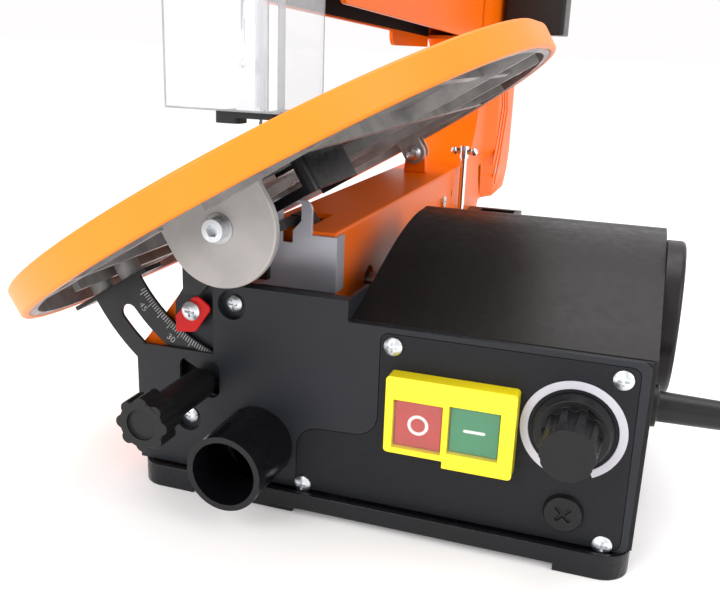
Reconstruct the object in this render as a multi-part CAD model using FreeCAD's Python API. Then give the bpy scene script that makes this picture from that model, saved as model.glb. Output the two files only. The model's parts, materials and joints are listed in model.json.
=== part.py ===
import FreeCAD, Part
import math
import os

# A bench scroll saw with a tilting cast table, a C-shaped arm frame and a front control panel.
# Millimetres. X runs to the operator's right, Y from the front cover to the rear, Z up.
# The blade stands at X = 0, Y = 0, and the base's feet stand on Z = 0.

Vector = FreeCAD.Vector
ORIGIN = Vector(0, 0, 0)

# Base casting
BASE_LEFT, BASE_RIGHT = -71.0, 187.5
BASE_FRONT, BASE_BACK = -6.0, 440.0
BASE_UNDER, BASE_FLOOR, BASE_RIM = 3.5, 10.0, 12.5
BASE_CORNER = 14.0
BENCH_HOLE_RADIUS = 4.5
BENCH_HOLE_CENTRE = (55.0, 315.0)
BENCH_HOLE_SPACING = (200.0, 160.0)

# Arm frame: lower housing, rear column and upper housing
WALL = 3.0
ARM_HALF_WIDTH = 24.0
HOUSING_TOP = 139.8
HOUSING_FRONT = 40.0
COLUMN_FRONT = 345.0
THROAT = 406.0
UPPER_JOINT = 385.0
UPPER_TOP = 325.0
FLANK_HALF_WIDTH = 32.0

# Table, in its own frame: U across, Y back, N up, with the tilt axis at U = 0, N = 0
PIVOT_HEIGHT = 155.6
REST_TILT = 31.5
TABLE_CENTRE = (3.5, 60.0)
TABLE_HALF_WIDTH = 142.6
TABLE_STRAIGHT = 26.0
TABLE_FRONT_DEPTH, TABLE_BACK_DEPTH = 162.1, 227.5
TABLE_TOP = 19.66
TABLE_UNDER = 14.66
RIM_BOTTOM = 5.66
RIM_BAND = 4.0
INSERT_CENTRE_U = 10.0
INSERT_RADIUS = 30.0
LEFT_RIB_BOTTOM = 9.2
SCALE_FLANGE = (2.2, 4.5)
SCALE_SCREWS = ((-111.6, 11.0), (-91.1, 11.0))

# Front cover, control panel and motor cover
COVER_THICK = 2.0
COVER_TOP = 117.0
PANEL_TOP = 106.5
COVER_LEFT, COVER_STEP, COVER_RIGHT = -72.0, 46.0, 186.0
MOTOR_COVER_RIGHT = 188.0
MOTOR_AXIS = (100.0, 100.0)
SWITCH = (69.0, 131.0, 47.0, 86.0)
STOP_WINDOW = (73.0, 97.0, 50.0, 74.5)
START_WINDOW = (100.0, 124.0, 51.5, 75.5)
DIAL_CENTRE = (155.7, 70.0)
FUSE_CENTRE = (155.5, 28.0)
PANEL_SCREWS = ((69.4, 97.7), (174.6, 97.7), (174.6, 15.5), (24.3, 15.5))
COVER_SCREWS = ((-16.0, 106.8), (-42.4, 41.0))
COVER_SCREW_DEPTH = 4.0
POINTER_SCREW = (-37.9, 101.5)
POINTER_FACE = -1.2
LOCK_STUD = (-32.2, 63.6)
PORT_CENTRE = (-1.6, 34.5)
DUCT_CENTRE = (-1.6, 30.0)

# Reciprocating arms
ARM_PIVOT_Y = 480.0
LOWER_PIVOT_Z, LOWER_EYE_Z = 120.0, 143.5
ARM_SPACING = 134.5
UPPER_PIVOT_Z, UPPER_EYE_Z = LOWER_PIVOT_Z + ARM_SPACING, LOWER_EYE_Z + ARM_SPACING
TAIL_Y = 500.0
CRANK_THROW = 6.3
PIN_RADIUS = 2.0
RUNNING_GAP = 0.05

# Fittings
WRENCH = (29.0, 331.0)
HOLD_DOWN_KNOB_Z = 309.0

# Mains lead
LEAD_RADIUS = 3.75
LEAD_ROUTE = (
    (226, 30, 76), (250, 30, 76), (276, 36, 63), (294, 47, 42),
    (308, 58, 22), (323, 70, 8), (338.5, 82.5, 3.75),
)
COIL_CENTRE = (318.0, 118.0)
COIL_INNER, COIL_OUTER, COIL_HEIGHT = 29.0, 53.0, 15.5


def box(x0, x1, y0, y1, z0, z1):
    """A block between two corners."""
    return Part.makeBox(x1 - x0, y1 - y0, z1 - z0, Vector(x0, y0, z0))


def rod(radius, start, end):
    """A round bar between two points."""
    start, end = Vector(*start), Vector(*end)
    return Part.makeCylinder(radius, (end - start).Length, start, end - start)


def cone(radius_start, radius_end, start, end):
    """A tapered round bar between two points."""
    start, end = Vector(*start), Vector(*end)
    return Part.makeCone(radius_start, radius_end, (end - start).Length, start, end - start)


def on_plane(plane, a, b, depth):
    """The point (a, b) of an XY, XZ or YZ drawing at a depth along the third axis."""
    if plane == "XY":
        return Vector(a, b, depth)
    if plane == "XZ":
        return Vector(a, depth, b)
    return Vector(depth, a, b)


def outline(points, plane="XY", depth=0.0):
    """A closed wire of straight sides. A corner written (a, b, radius) is rounded by an arc."""
    corners = [on_plane(plane, point[0], point[1], depth) for point in points]
    edges, starts, ends = [], [], []
    for index, corner in enumerate(corners):
        radius = points[index][2] if len(points[index]) > 2 else 0.0
        before = (corners[index - 1] - corner).normalize()
        after = (corners[(index + 1) % len(corners)] - corner).normalize()
        half = before.getAngle(after) / 2.0
        reach = radius / math.tan(half)
        first, last = corner + before * reach, corner + after * reach
        starts.append(first)
        ends.append(last)
        if radius > 0:
            bisector = (before + after).normalize()
            middle = corner + bisector * (radius / math.sin(half) - radius)
            edges.append(Part.Arc(first, middle, last).toShape())
    for index, last in enumerate(ends):
        following = starts[(index + 1) % len(starts)]
        if (following - last).Length > 1e-6:
            edges.append(Part.LineSegment(last, following).toShape())
    return Part.Wire(Part.__sortEdges__(edges))


def slab(points, plane, low, high):
    """A drawing extruded from one depth to another along the plane's third axis."""
    face = Part.Face(outline(points, plane, low))
    return face.extrude(on_plane(plane, 0, 0, high - low))


def rectangle(a0, a1, b0, b1, radius=0.0):
    """The corners of a rounded rectangle, for slab and outline."""
    return [(a0, b0, radius), (a1, b0, radius), (a1, b1, radius), (a0, b1, radius)]


def joined(shapes):
    """One solid from touching or overlapping solids."""
    shape = shapes[0]
    for other in shapes[1:]:
        shape = shape.fuse(other)
    return shape.removeSplitter()


def without(shape, cutters):
    """The shape less each cutter."""
    for cutter in cutters:
        shape = shape.cut(cutter)
    return shape


def tilted(shape):
    """Takes a solid from the table's frame to the saw's, at the rest tilt, left side down."""
    shape.rotate(ORIGIN, Vector(0, 1, 0), -REST_TILT)
    shape.translate(Vector(0, 0, PIVOT_HEIGHT))
    return shape


def pan_head_screw(x, z, face_y, radius, length, cross=True):
    """A screw along +Y whose head stands in front of face_y, with a cross recess."""
    head = Part.makeSphere(radius * 1.6, Vector(x, face_y - radius * 0.62 + radius * 1.6, z))
    head = head.common(rod(radius, (x, face_y - radius, z), (x, face_y, z)))
    if cross:
        for half_x, half_z in ((0.55, 0.13), (0.13, 0.55)):
            head = head.cut(box(x - radius * half_x, x + radius * half_x, face_y - radius,
                                face_y - radius * 0.22, z - radius * half_z, z + radius * half_z))
    shank = rod(radius * 0.41, (x, face_y, z), (x, face_y + length, z))
    return head.fuse(shank)


# ---- Base and arm frame -------------------------------------------------------------------

def make_base_plate():
    """Cast base: a raised rim, a hollow underside, corner feet, a centre pad and bench holes."""
    edges = (BASE_LEFT, BASE_RIGHT, BASE_FRONT, BASE_BACK)
    rim, foot_length, foot_width = 3.0, 34.0, 30.0

    def plan(inset):
        return rectangle(edges[0] + inset, edges[1] - inset, edges[2] + inset, edges[3] - inset,
                         BASE_CORNER - inset)

    plate = slab(plan(0), "XY", BASE_UNDER, BASE_RIM)
    plate = plate.cut(slab(plan(rim), "XY", BASE_FLOOR, BASE_RIM))
    plate = plate.cut(slab(plan(rim + 2), "XY", BASE_UNDER, BASE_UNDER + 2))
    feet = []
    for x in (BASE_LEFT, BASE_RIGHT - foot_length):
        for y in (BASE_FRONT, BASE_BACK - foot_width):
            foot = box(x, x + foot_length, y, y + foot_width, 0, BASE_UNDER + 2)
            feet.append(foot.common(slab(plan(0), "XY", 0, BASE_UNDER + 2)))
    feet.append(box(-20, 20, BASE_FRONT + 2, BASE_FRONT + 42, 0, BASE_UNDER + 2))
    plate = joined([plate] + feet)
    for side_x in (-0.5, 0.5):
        for side_y in (-0.5, 0.5):
            x = BENCH_HOLE_CENTRE[0] + side_x * BENCH_HOLE_SPACING[0]
            y = BENCH_HOLE_CENTRE[1] + side_y * BENCH_HOLE_SPACING[1]
            plate = plate.cut(rod(BENCH_HOLE_RADIUS, (x, y, 0), (x, y, BASE_RIM)))
    return plate


def make_lower_housing():
    """Hollow box that carries the lower arm, with a flared left skirt behind the front cover."""
    w, chamfer = ARM_HALF_WIDTH, 2.0
    section = [(-w, BASE_FLOOR), (w, BASE_FLOOR), (w, HOUSING_TOP, 2.0), (-w + chamfer, HOUSING_TOP),
               (-w, HOUSING_TOP - chamfer)]
    tube = slab(section, "XZ", HOUSING_FRONT, COLUMN_FRONT)
    flare = [(-w, 135), (-29.5, 131, 10), (-45, 113, 20), (-59, 94, 20), (-75, 73.5, 8),
             (-75, BASE_RIM), (-w, BASE_RIM)]
    flare_front, flare_back = 7.0, 200.0
    skirt = slab(flare, "XZ", flare_front, flare_back)
    inner_face = Part.Face(outline(flare, "XZ", flare_front + WALL)).makeOffset2D(-WALL)
    skirt = skirt.cut(inner_face.extrude(Vector(0, flare_back - flare_front - 2 * WALL, 0)))
    stud_hole = rod(3.0, (LOCK_STUD[0], 0, LOCK_STUD[1]), (LOCK_STUD[0], 20, LOCK_STUD[1]))
    skirt = skirt.cut(stud_hole)
    shape = joined([tube, skirt])
    inner = box(-w + WALL, w - WALL, 0, COLUMN_FRONT, 0, HOUSING_TOP - WALL)
    inner = inner.common(box(-w, w, HOUSING_FRONT, COLUMN_FRONT, 0, HOUSING_TOP))
    arm_slot = box(-8, 5, HOUSING_FRONT - 5, 88, 130, HOUSING_TOP + 5)
    shaft_hole = rod(9.0, (w - 5, *MOTOR_AXIS), (w + 5, *MOTOR_AXIS))
    return without(shape, [inner, arm_slot, shaft_hole])


def column_profile():
    """Side view of the column: throat fillets in front, a faceted overhanging back."""
    return [
        (COLUMN_FRONT, BASE_FLOOR), (COLUMN_FRONT, HOUSING_TOP), (THROAT, HOUSING_TOP, 55),
        (THROAT, 242, 14), (UPPER_JOINT, 242), (UPPER_JOINT, UPPER_TOP), (470, UPPER_TOP + 4, 30),
        (498, 312, 14), (508, 270, 30), (520, 245, 12), (548, 205, 10), (567, 172, 12),
        (545, 116, 14), (527, 98, 12), (430, 97, 8), (430, BASE_FLOOR),
    ]


def column_plan():
    """Top view of the column: the cheeks widen from the arm's width to the flanks."""
    w, flank = ARM_HALF_WIDTH, FLANK_HALF_WIDTH
    right = [(w, COLUMN_FRONT), (w, 446), (flank, 462), (flank, 552), (w, 568, 5)]
    left = [(-point[0],) + point[1:] for point in reversed(right)]
    return right + left


def make_rear_column():
    """Hollow rear column that holds both arm pivots."""
    depth = (FLANK_HALF_WIDTH + 2) * 2
    side = Part.Face(outline(column_profile(), "YZ", -depth / 2))
    plan = Part.Face(outline(column_plan(), "XY", 0))
    outer = side.extrude(Vector(depth, 0, 0)).common(plan.extrude(Vector(0, 0, UPPER_TOP + 20)))
    inner_side = side.makeOffset2D(-WALL).extrude(Vector(depth, 0, 0))
    inner_plan = plan.makeOffset2D(-WALL).extrude(Vector(0, 0, UPPER_TOP + 20))
    inner = inner_side.common(inner_plan)
    w = ARM_HALF_WIDTH - WALL
    low_joint = box(-w, w, COLUMN_FRONT - 1, COLUMN_FRONT + WALL + 4, 0, HOUSING_TOP - WALL)
    high_joint = box(-w, w, UPPER_JOINT - 1, UPPER_JOINT + WALL + 1, 245, UPPER_TOP - WALL)
    cuts = [inner, low_joint, high_joint]
    for z in (LOWER_PIVOT_Z, UPPER_PIVOT_Z):
        cuts.append(rod(5.0, (-depth, ARM_PIVOT_Y, z), (depth, ARM_PIVOT_Y, z)))
    low_slit = [(438, 101.5, 1), (441, 101.5, 1), (436.5, 131, 4), (424.5, 131, 3), (429, 116, 20)]
    high_slit = rectangle(393, 400, 251, 292, 3.0)
    for slit in (low_slit, high_slit):
        cuts.append(slab(slit, "YZ", ARM_HALF_WIDTH - WALL - 1, ARM_HALF_WIDTH + 2))
    shape = without(outer, cuts)
    ears = []
    for x in (-11.5, 8.5):
        ear = slab([(461, 326), (481, 326), (479, 346, 6), (463, 346, 6)], "YZ", x, x + 3)
        ears.append(ear.cut(rod(3.0 + RUNNING_GAP, (x - 1, 471, 338), (x + 4, 471, 338))))
    return joined([shape] + ears)


def make_upper_housing():
    """Channel, open below, that covers the upper arm and ends in a solid nose over the blade."""
    w, nose_front, nose_bottom = ARM_HALF_WIDTH, -22.0, 293.0
    side = [(nose_front, nose_bottom, 3), (nose_front, UPPER_TOP, 9), (UPPER_JOINT, UPPER_TOP),
            (UPPER_JOINT, 242), (47, 253, 4), (39, 262, 5), (34, nose_bottom, 5)]
    shape = slab(side, "YZ", -w, w)
    lip = slab([(278, 252), (278, 235, 9), (UPPER_JOINT, 235), (UPPER_JOINT, 252)], "YZ", -w, -w + WALL)
    channel = box(-w + WALL, w - WALL, 20, UPPER_JOINT, 200, UPPER_TOP - WALL)
    bar_slot = box(-6.1, 6.1, -12.6, -9.4, nose_bottom - 5, UPPER_TOP + 5)
    screw_hole = rod(2.5 + RUNNING_GAP, (0, nose_front - 5, HOLD_DOWN_KNOB_Z), (0, -12.6, HOLD_DOWN_KNOB_Z))
    return without(joined([shape, lip]), [channel, bar_slot, screw_hole])


def make_front_sheet_bracket():
    """Bent sheet plate across the housing's front, with an arched tab that the arm passes through."""
    w = ARM_HALF_WIDTH
    plate = slab([(-w, 108), (w + 1.6, 108), (w + 1.6, 138), (11.5, 138), (11.5, 156, 5),
                  (-11.5, 156, 5), (-11.5, 138), (-w, 138)], "XZ", 38, 40)
    window = slab([(-5.4, 133), (0.6, 133), (0.6, 139.5), (5.4, 145), (5.4, 154.3, 1),
                   (-5.4, 154.3, 1)], "XZ", 30, 50)
    flange = box(w + 0.1, w + 1.6, 40, 50, 108, 138)
    return joined([plate.cut(window), flange])


# ---- Front cover, panel and controls ------------------------------------------------------

def panel_outline():
    """Outline of the control panel, with its rounded lobe at the lower left."""
    bottom, top, step = BASE_RIM + 0.3, 103.5, 63.0
    return [(20.4, bottom, 4), (182.5, bottom, 5), (181.5, top, 4), (step, top, 4), (step, 48.8, 12),
            (20.4, 47, 12)]


def make_front_cover():
    """Moulded front plate with a recess for the tilt pointer and an opening for the panel."""
    front = [(COVER_LEFT, BASE_RIM), (COVER_LEFT, 79, 7), (-26.5, 79), (-26.5, COVER_TOP),
             (COVER_STEP, COVER_TOP, 3), (COVER_STEP, PANEL_TOP), (COVER_RIGHT, PANEL_TOP, 4),
             (COVER_RIGHT, BASE_RIM, 4)]
    plate = slab(front, "XZ", 0, COVER_THICK)
    panel_face = Part.Face(outline(panel_outline(), "XZ", -5))
    opening = panel_face.makeOffset2D(0.35).extrude(Vector(0, 5 + COVER_THICK, 0))
    plate = plate.cut(opening)
    ledge_outer = slab(rectangle(COVER_STEP, COVER_RIGHT, BASE_RIM, PANEL_TOP), "XZ", COVER_THICK, 4)
    lobe = Part.Face(outline(panel_outline(), "XZ", COVER_THICK)).makeOffset2D(2.5)
    lobe = lobe.extrude(Vector(0, 2, 0)).common(box(0, 200, 0, 10, BASE_RIM, 200))
    ledge = ledge_outer.fuse(lobe)
    ledge = ledge.cut(panel_face.makeOffset2D(-5).extrude(Vector(0, 20, 0)))
    for x, z in PANEL_SCREWS:
        ledge = ledge.fuse(rod(6.0, (x, COVER_THICK, z), (x, 4, z)))
        ledge = ledge.cut(rod(1.9, (x, 0, z), (x, 8, z)))
    ledge = ledge.common(box(0, COVER_RIGHT, 0, 10, BASE_RIM, PANEL_TOP))
    recess = slab([(-51, 76), (-51, 103), (-45, 113), (-45, COVER_TOP, 1), (-24, COVER_TOP),
                   (-24, 76)], "XZ", 5, 7)
    bridge = box(-26.5, -24, 0, 7, 83, COVER_TOP)
    shelf_height, shelf_back = 104.0, 38.0
    steps = [box(-24, COVER_STEP, 0, 8, COVER_TOP - 2, COVER_TOP),
             box(-24, COVER_STEP, 6, 8, shelf_height, COVER_TOP),
             box(-24, COVER_STEP, 6, shelf_back, shelf_height, shelf_height + 2),
             box(COVER_STEP - 2, COVER_STEP, 0, 33, shelf_height, COVER_TOP)]
    pointer_post = rod(4.0, (POINTER_SCREW[0], POINTER_FACE + 1.5, POINTER_SCREW[1]),
                       (POINTER_SCREW[0], 5.5, POINTER_SCREW[1]))
    cups = [rod(8.7, (x, 1, z), (x, COVER_SCREW_DEPTH + 2, z)) for x, z in COVER_SCREWS]
    shape = joined([plate, ledge, recess, bridge, pointer_post] + steps + cups)
    cuts = [slab(rectangle(-46.5, -23.3, 54.5, 75, 5), "XZ", -1, 3)]
    cuts.append(box(COVER_STEP - 1, COVER_STEP + 11, COVER_THICK, 5, 56, 93))
    cuts += [rod(7.7, (x, -1, z), (x, COVER_SCREW_DEPTH, z)) for x, z in COVER_SCREWS]
    x, z = PORT_CENTRE
    cuts.append(rod(19.4, (x, -1, z), (x, 8, z)))
    for x, z in COVER_SCREWS + (POINTER_SCREW,):
        cuts.append(rod(2.1, (x, -1, z), (x, 12, z)))
    return without(shape, cuts)


def make_control_panel():
    """Textured panel that carries the switch, the speed knob and the fuse cap."""
    panel = slab(panel_outline(), "XZ", 0, COVER_THICK)
    cuts = [box(73, 127, -1, 5, 48, 80)]
    cuts.append(rod(3.6, (DIAL_CENTRE[0], -1, DIAL_CENTRE[1]), (DIAL_CENTRE[0], 5, DIAL_CENTRE[1])))
    cuts.append(rod(7.1, (FUSE_CENTRE[0], -1, FUSE_CENTRE[1]), (FUSE_CENTRE[0], 5, FUSE_CENTRE[1])))
    for x, z in PANEL_SCREWS:
        cuts.append(rod(1.9, (x, -1, z), (x, 5, z)))
    return without(panel, cuts)


def motor_cover_profile(inset):
    """Side view of the motor cover: a long rising curve from the panel to a rounded back."""
    front = 4.1 - inset
    top = [(36, 117), (67, 128), (100, 136.5), (136, 139.5)]
    points = [Vector(0, front, 107 - inset)] + [Vector(0, y, z - inset) for y, z in top]
    curve = Part.BSplineCurve()
    curve.interpolate(points)
    back_top = Vector(0, 176 - inset, 116)
    crown = Part.Arc(points[-1], Vector(0, 163 - inset * 0.7, 132.5 - inset * 0.7), back_top)
    bottom = BASE_RIM - 5 * (inset > 0)
    back_bottom, front_bottom = Vector(0, 186 - inset, bottom), Vector(0, front, bottom)
    lines = [Part.LineSegment(back_top, back_bottom), Part.LineSegment(back_bottom, front_bottom),
             Part.LineSegment(front_bottom, points[0])]
    edges = [curve.toShape(), crown.toShape()] + [line.toShape() for line in lines]
    return Part.Face(Part.Wire(edges))


def make_motor_cover():
    """Curved shell over the motor and the electronics."""
    wall = 2.5
    outer = motor_cover_profile(0)
    outer.translate(Vector(COVER_STEP, 0, 0))
    outer = outer.extrude(Vector(MOTOR_COVER_RIGHT - COVER_STEP, 0, 0))
    inner = motor_cover_profile(wall)
    inner.translate(Vector(COVER_STEP + wall, 0, 0))
    inner = inner.extrude(Vector(MOTOR_COVER_RIGHT - COVER_STEP - 2 * wall, 0, 0))
    y, z = MOTOR_AXIS
    shaft_hole = rod(9.0, (COVER_STEP - 1, y, z), (COVER_STEP + 5, y, z))
    fan_hole = rod(35.0, (MOTOR_COVER_RIGHT - 5, y, z), (MOTOR_COVER_RIGHT + 5, y, z))
    lead_hole = rod(4.0, (MOTOR_COVER_RIGHT - 5, 30, 76), (MOTOR_COVER_RIGHT + 5, 30, 76))
    return without(outer, [inner, shaft_hole, fan_hole, lead_hole])


def make_motor_end_cap():
    """Round cap outside the motor cover, over the cooling fan."""
    y, z = MOTOR_AXIS
    start, end = MOTOR_COVER_RIGHT, MOTOR_COVER_RIGHT + 9.5
    cap = rod(41.0, (start, y, z), (end, y, z))
    rim = [edge for edge in cap.Edges
           if abs(edge.BoundBox.XMin - end) < 0.01 and edge.BoundBox.YLength > 50]
    cap = cap.makeFillet(2.5, rim)
    return cap.cut(rod(37.5, (start, y, z), (end - 2.5, y, z)))


def make_motor_body():
    """Motor can on its pedestal; the shaft turns in its bore."""
    y, z = MOTOR_AXIS
    can = rod(32.0, (74, y, z), (184, y, z))
    nose = rod(14.0, (66, y, z), (74, y, z))
    pedestal = box(96, 162, y - 27, y + 27, BASE_FLOOR, z)
    bore = rod(5.0 + RUNNING_GAP, (60, y, z), (190, y, z))
    return joined([can, nose, pedestal]).cut(bore)


def make_dust_port():
    """Hose spigot in front of the cover and the duct behind it."""
    x, z = PORT_CENTRE
    duct_x, duct_z = DUCT_CENTRE
    spigot = rod(19.3, (x, -38.8, z), (x, 0, z))
    duct = rod(14.7, (duct_x, -3, duct_z), (duct_x, 60, duct_z))
    bore = rod(16.3, (x, -40, z), (x, -3, z))
    duct_bore = rod(13.0, (duct_x, -10, duct_z), (duct_x, 61, duct_z))
    return without(joined([spigot, duct]), [bore, duct_bore])


def make_switch_housing():
    """Switch frame in front of the panel and its body behind, with two button wells."""
    x0, x1, z0, z1 = SWITCH
    frame = [(x0, z0, 2), (98, z0), (98, z0 - 3.5), (x1, z0 - 3.5, 2), (x1, z1, 2), (x0, z1, 2)]
    plate = slab(frame, "XZ", -9, 0)
    body = box(73.3, 126.7, 0, 26, 48.3, 79.7)
    shape = joined([plate, body])
    wells = [box(w[0], w[1], -10, 20, w[2], w[3]) for w in (STOP_WINDOW, START_WINDOW)]
    return without(shape, wells)


def make_button(window):
    """A push button that fits its well with a small gap all round."""
    gap = 0.35
    x0, x1, z0, z1 = window
    return slab(rectangle(x0 + gap, x1 - gap, z0 + gap, z1 - gap, 1.2), "XZ", -6.5, 14)


def make_speed_dial_plate():
    """Flat C-shaped dial ring, open at the bottom."""
    x, z = DIAL_CENTRE
    ring = rod(24.0, (x, -1, z), (x, 0, z)).cut(rod(20.2, (x, -2, z), (x, 1, z)))
    return ring.cut(slab([(x, z), (x - 15, z - 30), (x + 15, z - 30)], "XZ", -2, 1))


def make_speed_knob():
    """Skirted knob with a fluted grip, on the potentiometer's shaft."""
    x, z = DIAL_CENTRE
    flutes = 10
    skirt = cone(18.5, 16.5, (x, -1.4, z), (x, -6, z))
    grip = cone(13.6, 12.0, (x, -6, z), (x, -28, z))
    for index in range(flutes):
        angle = 2 * math.pi * (index + 0.5) / flutes
        fx, fz = x + 14.6 * math.cos(angle), z + 14.6 * math.sin(angle)
        grip = grip.cut(rod(3.0, (fx, -29, fz), (fx, -6, fz)))
    shaft = rod(3.0, (x, -1.4, z), (x, 14, z))
    return joined([skirt, grip, shaft])


def make_potentiometer():
    """Speed potentiometer behind the panel."""
    x, z = DIAL_CENTRE
    body = rod(9.0, (x, COVER_THICK, z), (x, 15, z))
    return body.cut(rod(3.0 + RUNNING_GAP, (x, 0, z), (x, 14.1, z)))


def make_control_board():
    """Speed control circuit board on four posts, with its heat sink and a capacitor."""
    board = box(60, 130, 20, 21.6, 17, 45)
    posts = [rod(2.2, (x, COVER_THICK, z), (x, 20, z)) for x in (64, 126) for z in (22, 41)]
    heat_sink = box(70, 96, 21.6, 38, 22, 40)
    capacitor = rod(6.0, (112, 21.6, 30), (112, 42, 30))
    return joined([board, heat_sink, capacitor] + posts)


def make_fuse_cap():
    """Round screwdriver cap of the fuse holder, with its barrel behind the panel."""
    x, z = FUSE_CENTRE
    cap = cone(9.6, 8.6, (x, 0, z), (x, -3, z))
    for turn in (45, 135):
        slot = box(x - 4.6, x + 4.6, -4, -1.6, z - 0.8, z + 0.8)
        slot.rotate(Vector(x, 0, z), Vector(0, 1, 0), turn)
        cap = cap.cut(slot)
    return joined([cap, rod(7.0, (x, 0, z), (x, 24, z))])


def make_panel_screws():
    """Four pan-head screws of the control panel."""
    return Part.makeCompound([pan_head_screw(x, z, 0, 4.6, 4) for x, z in PANEL_SCREWS])


def make_cover_screws():
    """Screws of the front cover, of the pointer and in the right side of the lower housing."""
    screws = [pan_head_screw(x, z, COVER_SCREW_DEPTH, 4.4, 2.9) for x, z in COVER_SCREWS]
    screws.append(pan_head_screw(*POINTER_SCREW, POINTER_FACE, 5.0, 5.5))
    side_head = rod(4.4, (ARM_HALF_WIDTH, 283, 118.6), (ARM_HALF_WIDTH + 2.2, 283, 118.6))
    slots = [box(25, 30, 280.5, 285.5, 118.1, 119.1), box(25, 30, 282.5, 283.5, 116.1, 121.1)]
    screws.append(without(side_head, slots))
    return Part.makeCompound(screws)


def make_tilt_pointer():
    """Pointer plate whose tip lies over the scale's marks."""
    x, z = POINTER_SCREW
    plate = slab([(-47.3, 88.9), (-36.3, 90, 4), (-26.7, 103.9, 3), (-35.8, 110.3, 4),
                  (-47.6, 97.6, 2)], "XZ", POINTER_FACE, POINTER_FACE + 1.5)
    return plate.cut(rod(2.1, (x, POINTER_FACE - 1, z), (x, POINTER_FACE + 3, z)))


def make_lock_stud():
    """Threaded stud of the tilt lock, with its nut behind the skirt's front wall."""
    x, z = LOCK_STUD
    nut = rod(5.0, (x, 10, z), (x, 16, z))
    return joined([rod(3.0, (x, -50, z), (x, 16, z)), nut])


def make_tilt_lock_knob():
    """Eight-lobed knob on a long sleeve that presses the scale bracket."""
    x, z = LOCK_STUD
    lobes, front, back = 8, -59.4, -46.4
    head = rod(11.4, (x, front, z), (x, back, z))
    for index in range(lobes):
        angle = 2 * math.pi * index / lobes
        lx, lz = x + 10.2 * math.cos(angle), z + 10.2 * math.sin(angle)
        head = head.fuse(rod(3.2, (lx, front, lz), (lx, back, lz)))
    dish = rod(7.5, (x, front - 1, z), (x, front + 1.6, z))
    sleeve = rod(8.2, (x, back, z), (x, -4, z))
    tip = rod(6.0, (x, -4, z), (x, 2.15, z))
    bore = rod(3.0 + RUNNING_GAP, (x, -50.5, z), (x, 5, z))
    return without(joined([head, sleeve, tip]), [dish, bore])


# ---- Table pivots --------------------------------------------------------------------------

def make_front_pivot_bracket():
    """Arm from the sheet bracket to the boss that carries the table's front pivot."""
    foot = box(-23, -12, 34, 38, 112, 138)
    web = box(-22, -16, -32, 34, 122, 138)
    boss = rod(13.0, (0, -36.5, PIVOT_HEIGHT), (0, -30, PIVOT_HEIGHT))
    arm = slab([(-22, 122), (-14, 122, 4), (10, 147), (-9, 164), (-15, 146, 6), (-22, 138)],
               "XZ", -36.5, -30)
    bolt_hole = rod(3.0, (0, -40, PIVOT_HEIGHT), (0, -20, PIVOT_HEIGHT))
    return joined([foot, web, boss, arm]).cut(bolt_hole)


def make_rear_pivot_post():
    """Post on top of the housing between the ears of the table's rear pivot."""
    post = slab([(-9, HOUSING_TOP), (9, HOUSING_TOP), (7.5, PIVOT_HEIGHT), (-7.5, PIVOT_HEIGHT)],
                "XZ", 283, 289)
    eye = rod(7.5, (0, 283, PIVOT_HEIGHT), (0, 289, PIVOT_HEIGHT))
    return joined([post, eye]).cut(rod(3.0, (0, 280, PIVOT_HEIGHT), (0, 295, PIVOT_HEIGHT)))


def make_table_pivot_bolts():
    """Socket-head bolt at the front pivot and pan-head bolt at the rear one."""
    socket_head = rod(5.0, (0, -48.6, PIVOT_HEIGHT), (0, -42.7, PIVOT_HEIGHT))
    corners = []
    for index in range(7):
        angle = math.radians(60 * index)
        corners.append(Vector(2.9 * math.cos(angle), -49, PIVOT_HEIGHT + 2.9 * math.sin(angle)))
    socket = Part.Face(Part.makePolygon(corners)).extrude(Vector(0, 3.6, 0))
    shank = rod(3.0, (0, -42.7, PIVOT_HEIGHT), (0, -26, PIVOT_HEIGHT))
    front = joined([socket_head.cut(socket), shank])
    rear = pan_head_screw(0, PIVOT_HEIGHT, 277.6, 5.9, 1)
    rear = joined([rear, rod(3.0, (0, 277.6, PIVOT_HEIGHT), (0, 297, PIVOT_HEIGHT))])
    return Part.makeCompound([front, rear])


# ---- Table ---------------------------------------------------------------------------------

def table_plan(inset, low, high):
    """The table's outline, two straight sides, a short front ellipse and a long back one, as a solid."""
    u, y = TABLE_CENTRE
    half_width = TABLE_HALF_WIDTH - inset
    half_straight = TABLE_STRAIGHT / 2
    edges = []
    for sign, depth in ((-1, TABLE_FRONT_DEPTH), (1, TABLE_BACK_DEPTH)):
        centre = Vector(u, y + sign * half_straight, low)
        tip, side = centre + Vector(0, sign * (depth - inset), 0), centre + Vector(half_width, 0, 0)
        edges.append(Part.Ellipse(tip, side, centre).toShape(-math.pi / 2, math.pi / 2))
    for side in (-1, 1):
        x = u + side * half_width
        front, back = Vector(x, y - half_straight, low), Vector(x, y + half_straight, low)
        edges.append(Part.LineSegment(front, back).toShape())
    wire = Part.Wire(Part.__sortEdges__(edges))
    return Part.Face(wire).extrude(Vector(0, 0, high - low))


def make_table_rim():
    """Band round the table's edge."""
    band = table_plan(0, RIM_BOTTOM, TABLE_TOP)
    band = band.cut(table_plan(RIM_BAND, RIM_BOTTOM, TABLE_TOP))
    return tilted(band)


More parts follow.
